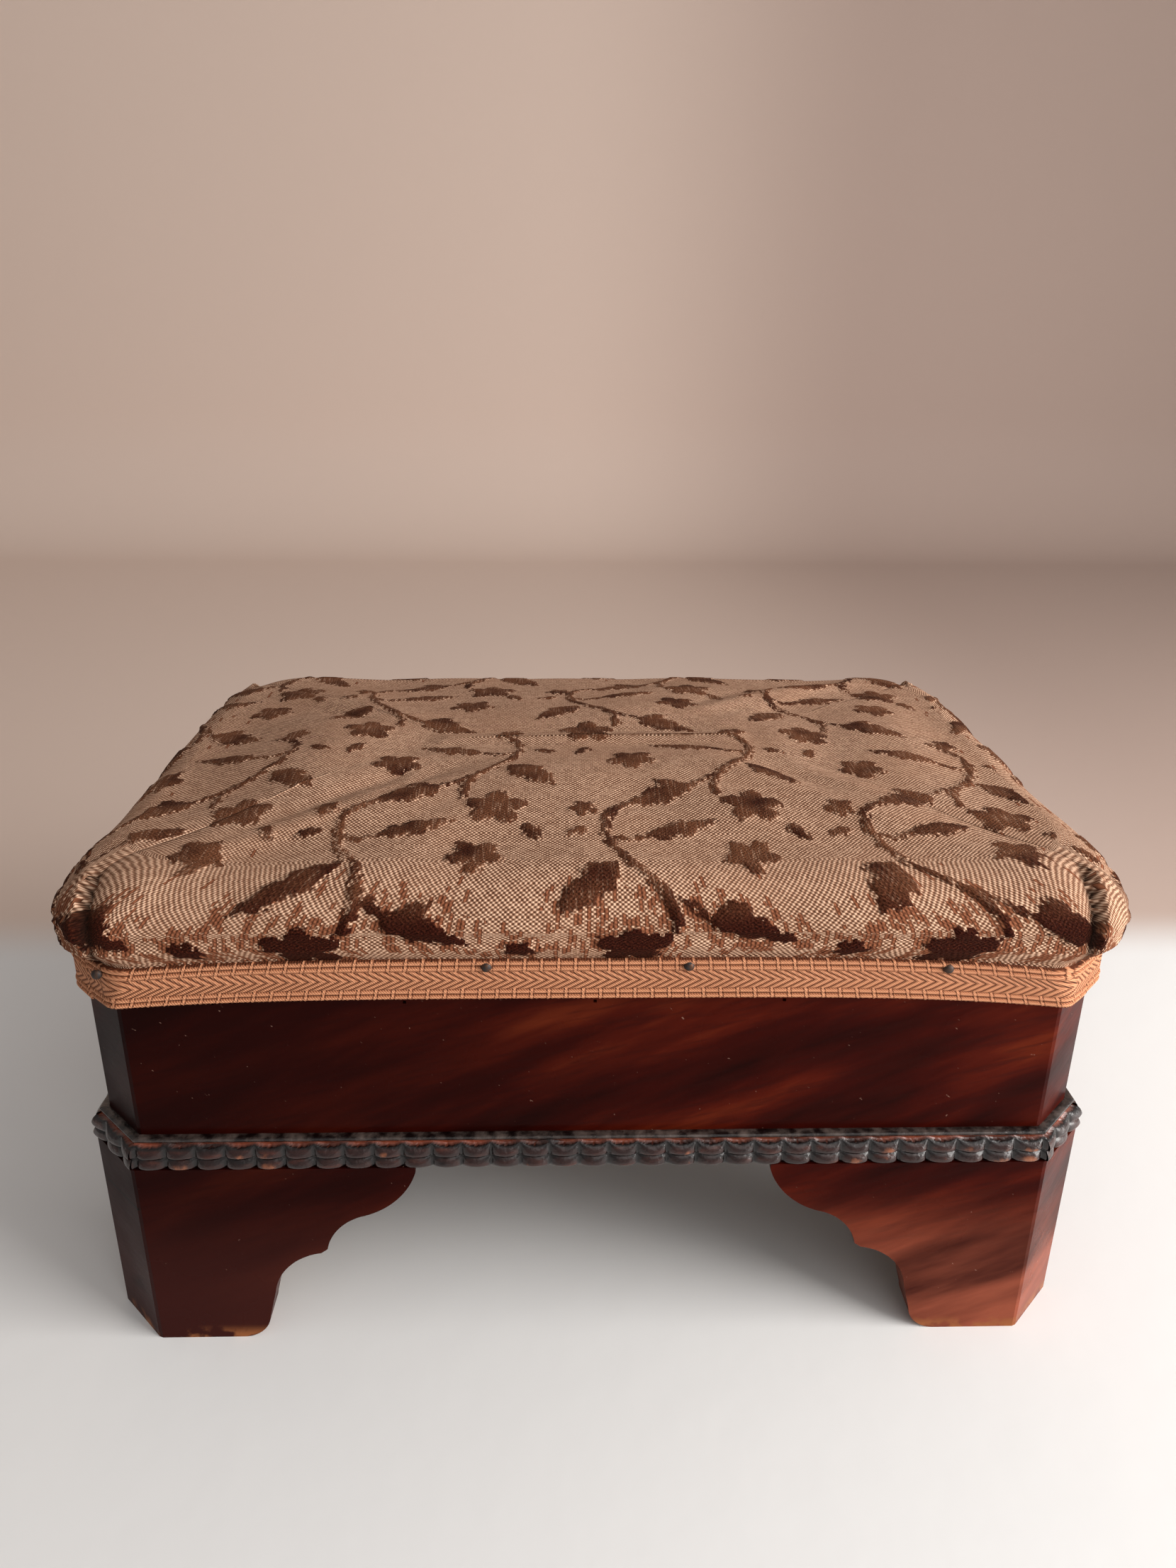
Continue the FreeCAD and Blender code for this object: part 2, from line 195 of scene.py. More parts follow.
def calc(tree, operation, first, second=0.0):
    return add(tree, "ShaderNodeMath", {0: first, 1: second}, operation=operation).outputs[0]


def times(tree, first, second):
    return calc(tree, "MULTIPLY", first, second)


def object_place(tree):
    return add(tree, "ShaderNodeTexCoord").outputs["Object"]


def axes(tree, place):
    """The X, Y and Z of coordinates."""
    return tuple(add(tree, "ShaderNodeSeparateXYZ", {0: place}).outputs)


def ramp(tree, value, low, high):
    """0 at low and 1 at high, eased between."""
    node = add(tree, "ShaderNodeMapRange", {"Value": value, "From Min": low, "From Max": high},
               interpolation_type="SMOOTHSTEP")
    return node.outputs[0]


def blend(tree, share, first, second):
    return add(tree, "ShaderNodeMix", {0: share, 6: first, 7: second}, data_type="RGBA").outputs[2]


def stretched(tree, coords, scale, turn=(0.0, 0.0, 0.0)):
    """Coordinates turned and then multiplied by scale."""
    inputs = {"Vector": coords, "Scale": [1 / part for part in scale], "Rotation": turn}
    return add(tree, "ShaderNodeMapping", inputs, vector_type="TEXTURE").outputs[0]


def cloudy(tree, coords, scale, detail=4.0):
    return add(tree, "ShaderNodeTexNoise", {"Vector": coords, "Scale": scale, "Detail": detail}).outputs[0]


def cell_noise(tree, coords):
    """A random number for each whole cell of coordinates."""
    cell = add(tree, "ShaderNodeVectorMath", {0: coords}, operation="FLOOR").outputs[0]
    return add(tree, "ShaderNodeTexWhiteNoise", {"Vector": cell}, noise_dimensions="2D").outputs[0]


def colours(tree, value, stops):
    node = add(tree, "ShaderNodeValToRGB", {0: value})
    ends = node.color_ramp.elements
    while len(ends) < len(stops):
        ends.new(0.5)
    for element, (place, colour) in zip(ends, stops):
        element.position = place
        element.color = colour
    return node.outputs[0]


def bump(tree, height, distance, strength=1.0, normal=None):
    inputs = {"Height": height, "Distance": distance, "Strength": strength}
    if normal is not None:
        inputs["Normal"] = normal
    return add(tree, "ShaderNodeBump", inputs).outputs[0]


def start(name):
    material = bpy.data.materials.new(name)
    material.use_nodes = True
    tree = material.node_tree
    return material, tree, tree.nodes["Principled BSDF"]


def finish_surface(tree, shader, sockets):
    for key, value in sockets.items():
        if isinstance(value, bpy.types.NodeSocket):
            tree.links.new(value, shader.inputs[key])
        else:
            shader.inputs[key].default_value = value


def attribute(tree, name):
    return add(tree, "ShaderNodeAttribute", attribute_name=name).outputs["Fac"]


def rgb(red, green, blue):
    return (red, green, blue, 1.0)


# Materials


def polished(tree, place):
    """Colour, roughness and height of old polished mahogany with a slanting flame figure, and painted shade
    that darkens its left side.
    """
    x, y, z = axes(tree, place)
    facing = axes(tree, add(tree, "ShaderNodeNewGeometry").outputs["True Normal"])[0]
    short_side = calc(tree, "GREATER_THAN", times(tree, facing, facing), 0.6)
    swapped = add(tree, "ShaderNodeCombineXYZ", {0: y, 1: x, 2: z}).outputs[0]
    along = blend(tree, short_side, place, swapped)
    flame = cloudy(tree, stretched(tree, along, (11, 26, 60), (0.0, math.radians(-24), 0.0)), 1.0, 5.0)
    fibre = cloudy(tree, stretched(tree, along, (55, 260, 620), (0.0, math.radians(-14), 0.0)), 1.0, 3.0)
    colour = colours(tree, flame, [(0.32, rgb(0.010, 0.0010, 0.0006)), (0.46, rgb(0.030, 0.0022, 0.0010)),
                                   (0.58, rgb(0.062, 0.0058, 0.0020)), (0.72, rgb(0.130, 0.0190, 0.0055))])
    colour = blend(tree, times(tree, ramp(tree, fibre, 0.45, 0.72), 0.45), colour,
                   rgb(0.020, 0.003, 0.002))
    # Painted shade: the wood is darkened towards the left, away from the light.
    painted_left_shade = ramp(tree, x, 0.10, -0.15)
    colour = blend(tree, times(tree, painted_left_shade, 0.8), colour, rgb(0.009, 0.0009, 0.0006))
    faded = times(tree, ramp(tree, z, 0.066, 0.015), ramp(tree, flame, 0.2, 0.4))
    figured = colours(tree, flame, [(0.36, rgb(0.040, 0.0080, 0.0050)), (0.64, rgb(0.270, 0.0720, 0.0400))])
    # The faded red low down is also darkened towards the left by the painted shade.
    faded_red_with_left_shade = blend(tree, painted_left_shade, figured, rgb(0.042, 0.0095, 0.0075))
    colour = blend(tree, times(tree, faded, 0.8), colour, faded_red_with_left_shade)
    specks = cloudy(tree, stretched(tree, place, (1.0, 1.0, 1.8), (0.0, math.radians(40), 0.0)), 480.0, 3.0)
    colour = blend(tree, times(tree, ramp(tree, specks, 0.73, 0.79), 0.45), colour,
                   rgb(0.34, 0.20, 0.15))
    smears = cloudy(tree, place, 26.0, 5.0)
    rough = add(tree, "ShaderNodeMapRange", {"Value": smears, "From Min": 0.3, "From Max": 0.7,
                                             "To Min": 0.20, "To Max": 0.42}).outputs[0]
    return colour, rough, fibre


def wood_material(name, cracked=False):
    material, tree, shader = start(name)
    place = object_place(tree)
    colour, rough, fibre = polished(tree, place)
    height = axes(tree, place)[2]
    scuffs = cloudy(tree, place, 120.0, 5.0)
    toe = times(tree, ramp(tree, height, 0.006, 0.0), ramp(tree, scuffs, 0.47, 0.60))
    colour = blend(tree, toe, colour, rgb(0.27, 0.095, 0.035))
    if cracked:
        wander = times(tree, calc(tree, "SUBTRACT", cloudy(tree, place, 90.0), 0.5), 0.0016)
        off = calc(tree, "ABSOLUTE", calc(tree, "SUBTRACT", calc(tree, "ADD", height, wander), 0.05575))
        colour = blend(tree, ramp(tree, off, 0.0007, 0.0002), colour, rgb(0.004, 0.002, 0.002))
    finish_surface(tree, shader, {"Base Color": colour, "Roughness": rough, "Specular IOR Level": 0.035,
                                  "Normal": bump(tree, fibre, 0.0002, 0.25)})
    return material


def worn_edge_material():
    """Edges where the polish has rubbed through to paler wood, painted stronger towards the right side as
    painted light.
    """
    material, tree, shader = start("worn_edge")
    place = object_place(tree)
    colour, _, fibre = polished(tree, place)
    rubbed = ramp(tree, cloudy(tree, place, 60.0, 6.0), 0.40, 0.58)
    # Painted light: the rubbed pale edges are made stronger towards the right, where the light falls.
    side = ramp(tree, axes(tree, place)[0], -0.12, 0.14)
    rubbed = times(tree, rubbed, calc(tree, "ADD", 0.3, times(tree, side, 0.65)))
    colour = blend(tree, rubbed, colour, rgb(0.52, 0.17, 0.065))
    finish_surface(tree, shader, {"Base Color": colour, "Roughness": 0.45,
                                  "Normal": bump(tree, fibre, 0.0002, 0.3)})
    return material


def carved_material():
    material, tree, shader = start("carved_mahogany")
    place = object_place(tree)
    depth = attribute(tree, "depth")
    lip = attribute(tree, "lip")
    grain = cloudy(tree, stretched(tree, place, (90, 90, 420)), 1.0, 4.0)
    colour = colours(tree, grain, [(0.30, rgb(0.005, 0.0015, 0.0015)), (0.55, rgb(0.020, 0.0045, 0.003)),
                                   (0.75, rgb(0.055, 0.013, 0.007))])
    # Painted shade: the colour is darkened wherever the surface lies deeper than the bead crowns, in the
    # grooves between the beads.
    colour = blend(tree, ramp(tree, depth, 5.1, 4.3), colour, rgb(0.003, 0.001, 0.001))
    patches = cloudy(tree, place, 75.0, 5.0)
    bare = times(tree, ramp(tree, patches, 0.60, 0.67), ramp(tree, depth, 5.2, 5.9))
    colour = blend(tree, times(tree, bare, 0.85), colour, rgb(0.26, 0.085, 0.036))
    scoop = times(tree, attribute(tree, "scooped"), ramp(tree, grain, 0.25, 0.6))
    colour = blend(tree, scoop, colour, rgb(0.17, 0.036, 0.015))
    # Grey on the lip in patches: partly dust, partly a painted sheen of the polished rail.
    dust_and_sheen = times(tree, lip, ramp(tree, cloudy(tree, place, 220.0, 4.0), 0.35, 0.75))
    colour = blend(tree, times(tree, dust_and_sheen, 0.35), colour, rgb(0.20, 0.15, 0.13))
    dents = cloudy(tree, place, 420.0, 3.0)
    finish_surface(tree, shader, {"Base Color": colour, "Roughness": 0.27, "Specular IOR Level": 0.36,
                                  "Coat Weight": 0.35, "Coat Roughness": 0.16,
                                  "Normal": bump(tree, dents, 0.0012, 0.4)})
    return material


def cloth_axes(tree):
    """The flat-cloth map in millimetres, and its lengths across and along the cloth."""
    flat = add(tree, "ShaderNodeUVMap", uv_map="cloth").outputs[0]
    across, along, _ = axes(tree, flat)
    return flat, across, along


def float_threads(tree, across, along, near):
    """Long loose threads of the cover near its motifs: where they lie, and their colour, with painted shade
    along their sides and a painted highlight along their middles.
    """
    columns = calc(tree, "DIVIDE", across, float_width)
    column = calc(tree, "FLOOR", columns)
    shift = add(tree, "ShaderNodeTexWhiteNoise", {"W": column}, noise_dimensions="1D").outputs[0]
    rows = calc(tree, "ADD", calc(tree, "DIVIDE", along, float_length), shift)
    chance = cell_noise(tree, add(tree, "ShaderNodeCombineXYZ", {0: columns, 1: rows}).outputs[0])
    # Painted shade and highlight: each thread is coloured dark at its sides and light along its middle.
    painted_thread_shading = calc(tree, "SINE", times(tree, calc(tree, "FRACT", columns), math.pi))
    ends = calc(tree, "SINE", times(tree, calc(tree, "FRACT", rows), math.pi))
    there = calc(tree, "GREATER_THAN", times(tree, near, 0.7), chance)
    colour = blend(tree, painted_thread_shading, rgb(0.040, 0.011, 0.005), rgb(0.25, 0.090, 0.045))
    return times(tree, there, ramp(tree, ends, 0.05, 0.3)), colour


def cover_material():
    """Plain weave ground with cut pile flowers, which are dark where they are little worn."""
    material, tree, shader = start("cover_cloth")
    flat, across, along = cloth_axes(tree)
    drift = cloudy(tree, flat, 0.28, 3.0)
    slack = cloudy(tree, stretched(tree, flat, (0.09, 0.6, 1.0)), 1.0, 3.0)
    warp = calc(tree, "ADD", across, times(tree, drift, 0.7))
    weft = calc(tree, "ADD", along, times(tree, slack, 0.9))
    wave_a = calc(tree, "SINE", times(tree, warp, math.pi * 2 / cloth_pitch))
    wave_b = calc(tree, "SINE", times(tree, weft, math.pi * 2 / cloth_pitch))
    knuckle = times(tree, wave_a, wave_b)
    knuckle = calc(tree, "ADD", 0.5, times(tree, knuckle, 0.5))
    slubs = cloudy(tree, stretched(tree, flat, (0.16, 1.5, 1.0)), 1.0, 4.0)
    streaks = cloudy(tree, stretched(tree, flat, (1.7, 0.11, 1.0)), 1.0, 3.0)
    fading = cloudy(tree, flat, 0.025, 4.0)
    uneven = cell_noise(tree, stretched(tree, flat, (1 / cloth_pitch, 1 / cloth_pitch, 1.0)))
    # Painted highlight and shade: the weave's knuckles are coloured light and the gaps between threads
    # dark.
    lit = calc(tree, "ADD", times(tree, knuckle, 0.85), times(tree, uneven, 0.15))
    ground = colours(tree, lit, [(0.15, rgb(0.075, 0.027, 0.014)), (0.48, rgb(0.280, 0.145, 0.088)),
                                 (0.80, rgb(0.750, 0.495, 0.345))])
    ground = blend(tree, times(tree, ramp(tree, slubs, 0.45, 0.75), 0.22), ground,
                   rgb(0.27, 0.115, 0.065))
    ground = blend(tree, times(tree, ramp(tree, fading, 0.4, 0.7), 0.25), ground,
                   rgb(0.34, 0.170, 0.100))
    pile = attribute(tree, "pile")
    worn = attribute(tree, "worn")
    step = cell_noise(tree, stretched(tree, flat, (0.85, 0.45, 1.0)))
    ragged = calc(tree, "ADD", pile, times(tree, calc(tree, "SUBTRACT", step, 0.5), 2.4))
    raised = ramp(tree, ragged, 0.35, -0.35)
    patchy = ramp(tree, cloudy(tree, flat, 0.09, 3.0), 0.28, 0.5)
    near = times(tree, ramp(tree, pile, 13.0, 1.0), patchy)
    near = times(tree, near, calc(tree, "SUBTRACT", 1.0, worn))
    afloat, floats = float_threads(tree, across, along, near)
    ground = blend(tree, afloat, ground, floats)
    tufts = cloudy(tree, flat, 1.6, 3.0)
    fresh = colours(tree, tufts, [(0.3, rgb(0.010, 0.0015, 0.001)), (0.55, rgb(0.034, 0.006, 0.0028)),
                                  (0.8, rgb(0.095, 0.025, 0.011))])
    rubbed = colours(tree, tufts, [(0.3, rgb(0.075, 0.022, 0.009)), (0.55, rgb(0.150, 0.055, 0.026)),
                                   (0.8, rgb(0.26, 0.115, 0.060))])
    threadbare = times(tree, worn, ramp(tree, cloudy(tree, flat, 0.07, 4.0), 0.25, 0.65))
    brown = blend(tree, threadbare, fresh, rubbed)
    bald = times(tree, threadbare, times(tree, ramp(tree, streaks, 0.50, 0.66), 0.6))
    raised = times(tree, raised, calc(tree, "SUBTRACT", 1.0, bald))
    colour = blend(tree, raised, ground, brown)
    # Painted shade in the slot beside each corner fold.
    colour = blend(tree, attribute(tree, "slot"), colour, rgb(0.012, 0.006, 0.004))
    fuzz = times(tree, tufts, raised)
    woven = bump(tree, knuckle, 0.0005, 0.6)
    finish_surface(tree, shader, {"Base Color": colour, "Roughness": 0.9, "Specular IOR Level": 0.05,
                                  "Sheen Weight": times(tree, raised, 0.05),
                                  "Sheen Roughness": 0.4, "Sheen Tint": rgb(0.55, 0.33, 0.2),
                                  "Normal": bump(tree, fuzz, 0.0009, 0.7, woven)})
    return material


def braid_material():
    """Two cords with wrapping stitches along each edge, and plaited strands in the middle."""
    material, tree, shader = start("gimp")
    flat, run, wide = cloth_axes(tree)
    middle = calc(tree, "ABSOLUTE", calc(tree, "SUBTRACT", calc(tree, "DIVIDE", wide, braid_width), 0.5))
    edge = times(tree, middle, 2.0)
    band = ramp(tree, edge, *cord_band)
    turns = times(tree, calc(tree, "SUBTRACT", edge, plait_share), 2 * math.pi / (1 - plait_share))
    cords = calc(tree, "ABSOLUTE", calc(tree, "SINE", turns))
    upper = calc(tree, "GREATER_THAN", wide, braid_width / 2)
    count = calc(tree, "ADD", calc(tree, "DIVIDE", run, stitch_pitch), times(tree, upper, 0.5))
    off = calc(tree, "ABSOLUTE", calc(tree, "SUBTRACT", calc(tree, "FRACT", count), 0.5))
    wrap = ramp(tree, off, 0.10, 0.05)
    crease = ramp(tree, calc(tree, "ABSOLUTE", calc(tree, "SUBTRACT", off, 0.125)), 0.045, 0.01)
    strand = calc(tree, "ADD", run, times(tree, middle, chevron_slope * braid_width))
    plait = calc(tree, "ABSOLUTE", calc(tree, "SINE", times(tree, strand, math.pi / chevron_pitch)))
    corded = times(tree, cords, calc(tree, "SUBTRACT", 1.0, times(tree, crease, 0.7)))
    corded = calc(tree, "MAXIMUM", corded, wrap)
    height = add(tree, "ShaderNodeMix", {0: band, 2: plait, 3: corded}).outputs[0]
    twist = calc(tree, "SINE", times(tree, calc(tree, "ADD", run, wide), 7.5))
    twist = calc(tree, "ADD", 0.5, times(tree, twist, 0.5))
    # Painted shade and highlight: the twist of the strands is coloured in dark and light stripes.
    colour = blend(tree, twist, rgb(0.26, 0.082, 0.036), rgb(0.66, 0.285, 0.145))
    # Painted highlight: the raised strands and cords are coloured lighter.
    colour = blend(tree, times(tree, ramp(tree, height, 0.5, 1.0), 0.5), colour,
                   rgb(0.74, 0.350, 0.190))
    fade = cloudy(tree, flat, 0.03, 4.0)
    colour = blend(tree, times(tree, ramp(tree, fade, 0.35, 0.7), 0.3), colour,
                   rgb(0.40, 0.155, 0.075))
    # Painted shade: the low gaps between strands and cords are coloured dark.
    colour = blend(tree, ramp(tree, height, 0.42, 0.08), colour, rgb(0.115, 0.032, 0.013))
    raised = bump(tree, height, 0.0009, 0.8)
    finish_surface(tree, shader, {"Base Color": colour, "Roughness": 0.75, "Specular IOR Level": 0.15,
                                  "Normal": bump(tree, twist, 0.0003, 0.5, raised)})
    return material


def jute_material(name, pitch, dark, light):
    material, tree, shader = start(name)
    place = object_place(tree)
    x, y, _ = axes(tree, place)
    turns = math.pi * 2 / (pitch * MM)
    wave_x = calc(tree, "SINE", times(tree, x, turns))
    wave_y = calc(tree, "SINE", times(tree, y, turns))
    weave = calc(tree, "ADD", 0.5, times(tree, times(tree, wave_x, wave_y), 0.5))
    slubs = cloudy(tree, stretched(tree, place, (120, 900, 900)), 1.0, 4.0)
    # Painted highlight and shade: the weave's crossings are coloured light and the spaces between them
    # dark.
    colour = blend(tree, weave, dark, light)
    colour = blend(tree, times(tree, ramp(tree, slubs, 0.4, 0.7), 0.5), colour, dark)
    finish_surface(tree, shader, {"Base Color": colour, "Roughness": 0.95, "Specular IOR Level": 0.1,
                                  "Normal": bump(tree, weave, 0.0008, 0.8)})
    return material


def pine_material():
    material, tree, shader = start("pine")
    place = object_place(tree)
    rings = cloudy(tree, stretched(tree, place, (160, 160, 12)), 1.0, 4.0)
    stain = cloudy(tree, place, 30.0, 4.0)
    colour = colours(tree, rings, [(0.3, rgb(0.20, 0.105, 0.045)), (0.6, rgb(0.34, 0.20, 0.10))])
    colour = blend(tree, ramp(tree, stain, 0.45, 0.75), colour, rgb(0.14, 0.075, 0.04))
    finish_surface(tree, shader, {"Base Color": colour, "Roughness": 0.8,
                                  "Normal": bump(tree, rings, 0.0004, 0.5)})
    return material


def iron_material():
    material, tree, shader = start("tack_iron")
    place = object_place(tree)
    rust = cloudy(tree, place, 900.0, 4.0)
    colour = colours(tree, rust, [(0.4, rgb(0.035, 0.032, 0.032)), (0.7, rgb(0.10, 0.042, 0.02))])
    finish_surface(tree, shader, {"Base Color": colour, "Metallic": 0.7, "Roughness": 0.55,
                                  "Normal": bump(tree, rust, 0.0002, 0.5)})
    return material


# Meshes


def piece(name, points, faces, material, values=None, flat=None):
    """Object of the footstool from points in millimetres, with values for the material at points."""
    mesh = bpy.data.meshes.new(name)
    mesh.from_pydata((np.asarray(points, float) * MM).tolist(), [], faces)
    mesh.materials.append(material)
    mesh.polygons.foreach_set("use_smooth", [True] * len(mesh.polygons))
    for key, numbers in (values or {}).items():
        layer = mesh.attributes.new(key, "FLOAT", "POINT")
        layer.data.foreach_set("value", np.asarray(numbers, np.float32))
    if flat is not None:
        corners = np.empty(len(mesh.loops), np.int32)
        mesh.loops.foreach_get("vertex_index", corners)
        layer = mesh.uv_layers.new(name="cloth")
        layer.data.foreach_set("uv", np.asarray(flat, np.float32)[corners].ravel())
    mesh.update()
    made = bpy.data.objects.new(name, mesh)
    bpy.context.scene.collection.objects.link(made)
    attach(made, "root")
    return made


def grid_faces(rows, columns, closed):
    """Quads of a grid of points, joined up along each row if it is closed."""
    across = columns if closed else columns - 1
    row, column = np.meshgrid(np.arange(rows - 1), np.arange(across), indexing="ij")
    a = row * columns + column
    b = row * columns + (column + 1) % columns
    return np.stack([a, b, b + columns, a + columns], -1).reshape(-1, 4).tolist()


def ease(value, low, high):
    share = np.clip((value - low) / (high - low), 0, 1)
    return share * share * (3 - 2 * share)


class Round:
    """Stations round the box: along each long, short and canted side, and round each bend."""

    def __init__(self, pitch):
        bend, canted = 14.0, 20.0
        self.counts = []
        for length in (2 * half_width, canted, 2 * half_depth, canted) * 2:
            self.counts += [max(3, round(bend / pitch)), max(2, round(length / pitch))]
        self.place = np.concatenate([i + np.arange(n) / n for i, n in enumerate(self.counts)])

    def outline(self, overhang, cut, radius, narrower=0.0):
        """Points of one level and their outward directions."""
        w = half_width + overhang - narrower
        d = half_depth + overhang
        corners = np.array([(-w + cut, -d), (w - cut, -d), (w, -d + cut), (w, d - cut),
                            (w - cut, d), (-w + cut, d), (-w, d - cut), (-w, -d + cut)])
        half_bend = math.pi / 8
        points = []
        rays = []
        for side in range(8):
            turns = math.radians(45) * side - math.radians(112.5)
            inward = radius / math.cos(half_bend) * np.array((math.cos(turns), math.sin(turns)))
            middle = corners[side] - inward
            bend = turns + np.linspace(-half_bend, half_bend, self.counts[2 * side], endpoint=False)
            ray = np.stack([np.cos(bend), np.sin(bend)], -1)
            points.append(middle + ray * radius)
            rays.append(ray)
            angle = turns + half_bend
            ray = np.array((math.cos(angle), math.sin(angle)))
            first = middle + ray * radius
            following = corners[(side + 1) % 8]
            back = np.array((math.sin(angle), -math.cos(angle)))
            last = following + back * radius * math.tan(half_bend)
            share = np.linspace(0, 1, self.counts[2 * side + 1], endpoint=False)[:, None]
            points.append(first + (last - first) * share)
            rays.append(np.repeat(ray[None], self.counts[2 * side + 1], 0))
        return np.concatenate(points), np.concatenate(rays)


def bow(points):
    """Rise of the braid's edge above its corners, at points round the box."""
    x = np.abs(points[:, 0] + braid_shift) / half_width
    y = np.abs(points[:, 1]) / half_depth
    long_side = np.abs(points[:, 1]) > half_depth - 6
    short_side = np.abs(points[:, 0]) > half_width - 6
    rise = np.where(long_side, 1 - x ** 4, 0) + np.where(short_side & ~long_side, 0.6 * (1 - y ** 2), 0)
    return braid_bow * np.clip(rise, 0, 1)


# Cushion


def seat_sections():
    """Levels of the stuffed top from its hem to the ridge: overhang, height, corner cut and radius,
    the share of the braid's bow that it takes, and its share of the way over the crown."""
    overhang = seat_overhang - swell
    shoulder = top_height - crown_rise - shoulder_radius - swell
    hem_cut = cant + cant_share * hem_overhang
    side_cut = cant_share * side_corner_radius
    levels = [(1.7, braid_low + 1.5, hem_cut, hem_corner_radius, 1.0, 0.0),
              (2.8, braid_low + 8.0, hem_cut + 1.0, hem_corner_radius + 5, 1.0, 0.0),
              (4.0, braid_low + 13.0, hem_cut + 2.0, hem_corner_radius + 9, 1.0, 0.0),
              (5.0, braid_low + 16.0, hem_cut + 2.5, hem_corner_radius + 13, 1.0, 0.0),
              (overhang - 1.6, bulge_height - 6.5, side_cut, side_corner_radius * 0.85, 0.6, 0.0),
              (overhang, bulge_height, side_cut, side_corner_radius * corner_round, 0.3, 0.0)]
    for angle in range(0, 85, 6):
        turn = math.radians(angle)
        radius = side_corner_radius + (top_corner_radius - side_corner_radius) * math.sin(turn)
        levels.append((overhang - shoulder_radius * (1 - math.cos(turn)),
                       shoulder + shoulder_radius * math.sin(turn),
                       cant_share * radius, radius * corner_round, 0.0, 0.0))
    edge = levels[-1][0]
    ridge = ridge_half_depth - half_depth
    for share in np.linspace(0, 1, 20)[1:]:
        radius = top_corner_radius * (1 - share) + ridge_corner_radius
        levels.append((edge + (ridge - edge) * share, levels[-1][1],
                       cant_share * radius, radius * corner_round, 0.0, share))
    return np.array(levels)


def seat_grid(pitch):
    """Points of the stuffed top as levels by stations, with its flat-cloth map."""
    ring = Round(pitch)
    sections = seat_sections()
    run = np.hypot(np.diff(sections[:, 0]), np.diff(sections[:, 1]))
    length = np.concatenate([[0], np.cumsum(run)])
    levels = np.linspace(0, length[-1], round(length[-1] / pitch))
    sections = np.stack([np.interp(levels, length, column) for column in sections.T], -1)
    over = int(np.argmax(sections[:, 5] > 0))
    foot, _ = ring.outline(*sections[over, [0, 2, 3]])
    top_x, top_y = np.abs(foot).max(0)
    points = np.zeros((len(levels), len(foot), 3))
    flat = np.zeros((len(levels), len(foot), 2))
    front = np.abs(foot[:, 0]) < fold_place
    step = np.linalg.norm(np.roll(foot, -1, 0) - foot, axis=1)
    arc = np.cumsum(step) - step
    round_side = foot.copy()
    for sign in (-1, 1):
        middle = arc[np.argmin(np.abs(foot[:, 1]) + top_x * (foot[:, 0] * sign < 0))]
        turned = (arc - middle + step.sum() / 2) % step.sum() - step.sum() / 2
        here = ~front & (foot[:, 0] * sign > 0)
        round_side[here] = np.stack([np.full(here.sum(), sign * top_x), sign * turned[here]], -1)
    away = np.where(front[:, None], np.stack([0 * foot[:, 0], np.sign(foot[:, 1])], -1),
                    np.stack([np.sign(foot[:, 0]), 0 * foot[:, 1]], -1))
    for i, (overhang, height, cut, radius, bowed, crown) in enumerate(sections):
        above = ease(height, braid_low + braid_width, bulge_height)
        narrower = hem_narrower + (seat_narrower - hem_narrower) * above
        plan, _ = ring.outline(overhang, cut, radius, narrower)
        points[i, :, :2] = plan + (seat_shift * above, 0)
        points[i, :, 2] = height + bowed * bow(plan)
        if crown > 0:
            dome = (1 - (np.abs(plan[:, 0]) / top_x) ** 3) * (1 - (np.abs(plan[:, 1]) / top_y) ** 2)
            points[i, :, 2] += crown_rise * dome * ease(crown, 0, 0.3)
            flat[i] = plan
        else:
            flat[i] = round_side + away * (levels[over] - levels[i])
    return ring, levels, points, flat, sections


def swollen(points, held):
    """How far each point of a coarse seat moves when the stuffing presses the cover outwards."""
    rows, columns, _ = points.shape
    mesh = bpy.data.meshes.new("seat_cloth")
    faces = grid_faces(rows, columns, True)
    faces.append([(rows - 1) * columns + i for i in range(columns)])
    mesh.from_pydata((points.reshape(-1, 3) * MM).tolist(), [], faces)
    cloth = bpy.data.objects.new("seat_cloth", mesh)
    bpy.context.scene.collection.objects.link(cloth)
    pins = cloth.vertex_groups.new(name="held")
    for i in range(rows):
        pins.add(list(range(i * columns, (i + 1) * columns)), float(held[i]), "REPLACE")
    modifier = cloth.modifiers.new("cloth", "CLOTH")
    settings = modifier.settings
    settings.vertex_group_mass = "held"
    settings.use_pressure = True
    settings.uniform_pressure_force = 4.0
    settings.effector_weights.gravity = 0.0
    settings.quality = 6
    settings.mass = 0.4
    settings.bending_stiffness = 2.0
    modifier.collision_settings.use_collision = False
    scene = bpy.context.scene
    for number in range(1, simulation_frames + 1):
        scene.frame_set(number)
    shaped = cloth.evaluated_get(bpy.context.evaluated_depsgraph_get()).to_mesh()
    after = np.empty(rows * columns * 3, np.float32)
    shaped.vertices.foreach_get("co", after)
    scene.frame_set(1)
    bpy.data.objects.remove(cloth)
    bpy.data.meshes.remove(mesh)
    moved = after.reshape(rows, columns, 3) / MM - points
    reach = np.linalg.norm(moved, axis=-1, keepdims=True)
    return moved * np.minimum(1, swell_cap / np.maximum(reach, 1e-6))


def shares(fine, coarse, period=None):
    """Matrix that reads values at coarse places out at fine ones, in a straight line between."""
    if period:
        coarse = np.append(coarse, period)
    index = np.clip(np.searchsorted(coarse, fine, side="right") - 1, 0, len(coarse) - 2)
    part = (fine - coarse[index]) / (coarse[index + 1] - coarse[index])
    size = len(coarse) - 1 if period else len(coarse)
    matrix = np.zeros((len(fine), size))
    rows = np.arange(len(fine))
    matrix[rows, index % size] += 1 - part
    matrix[rows, (index + 1) % size] += part
    return matrix


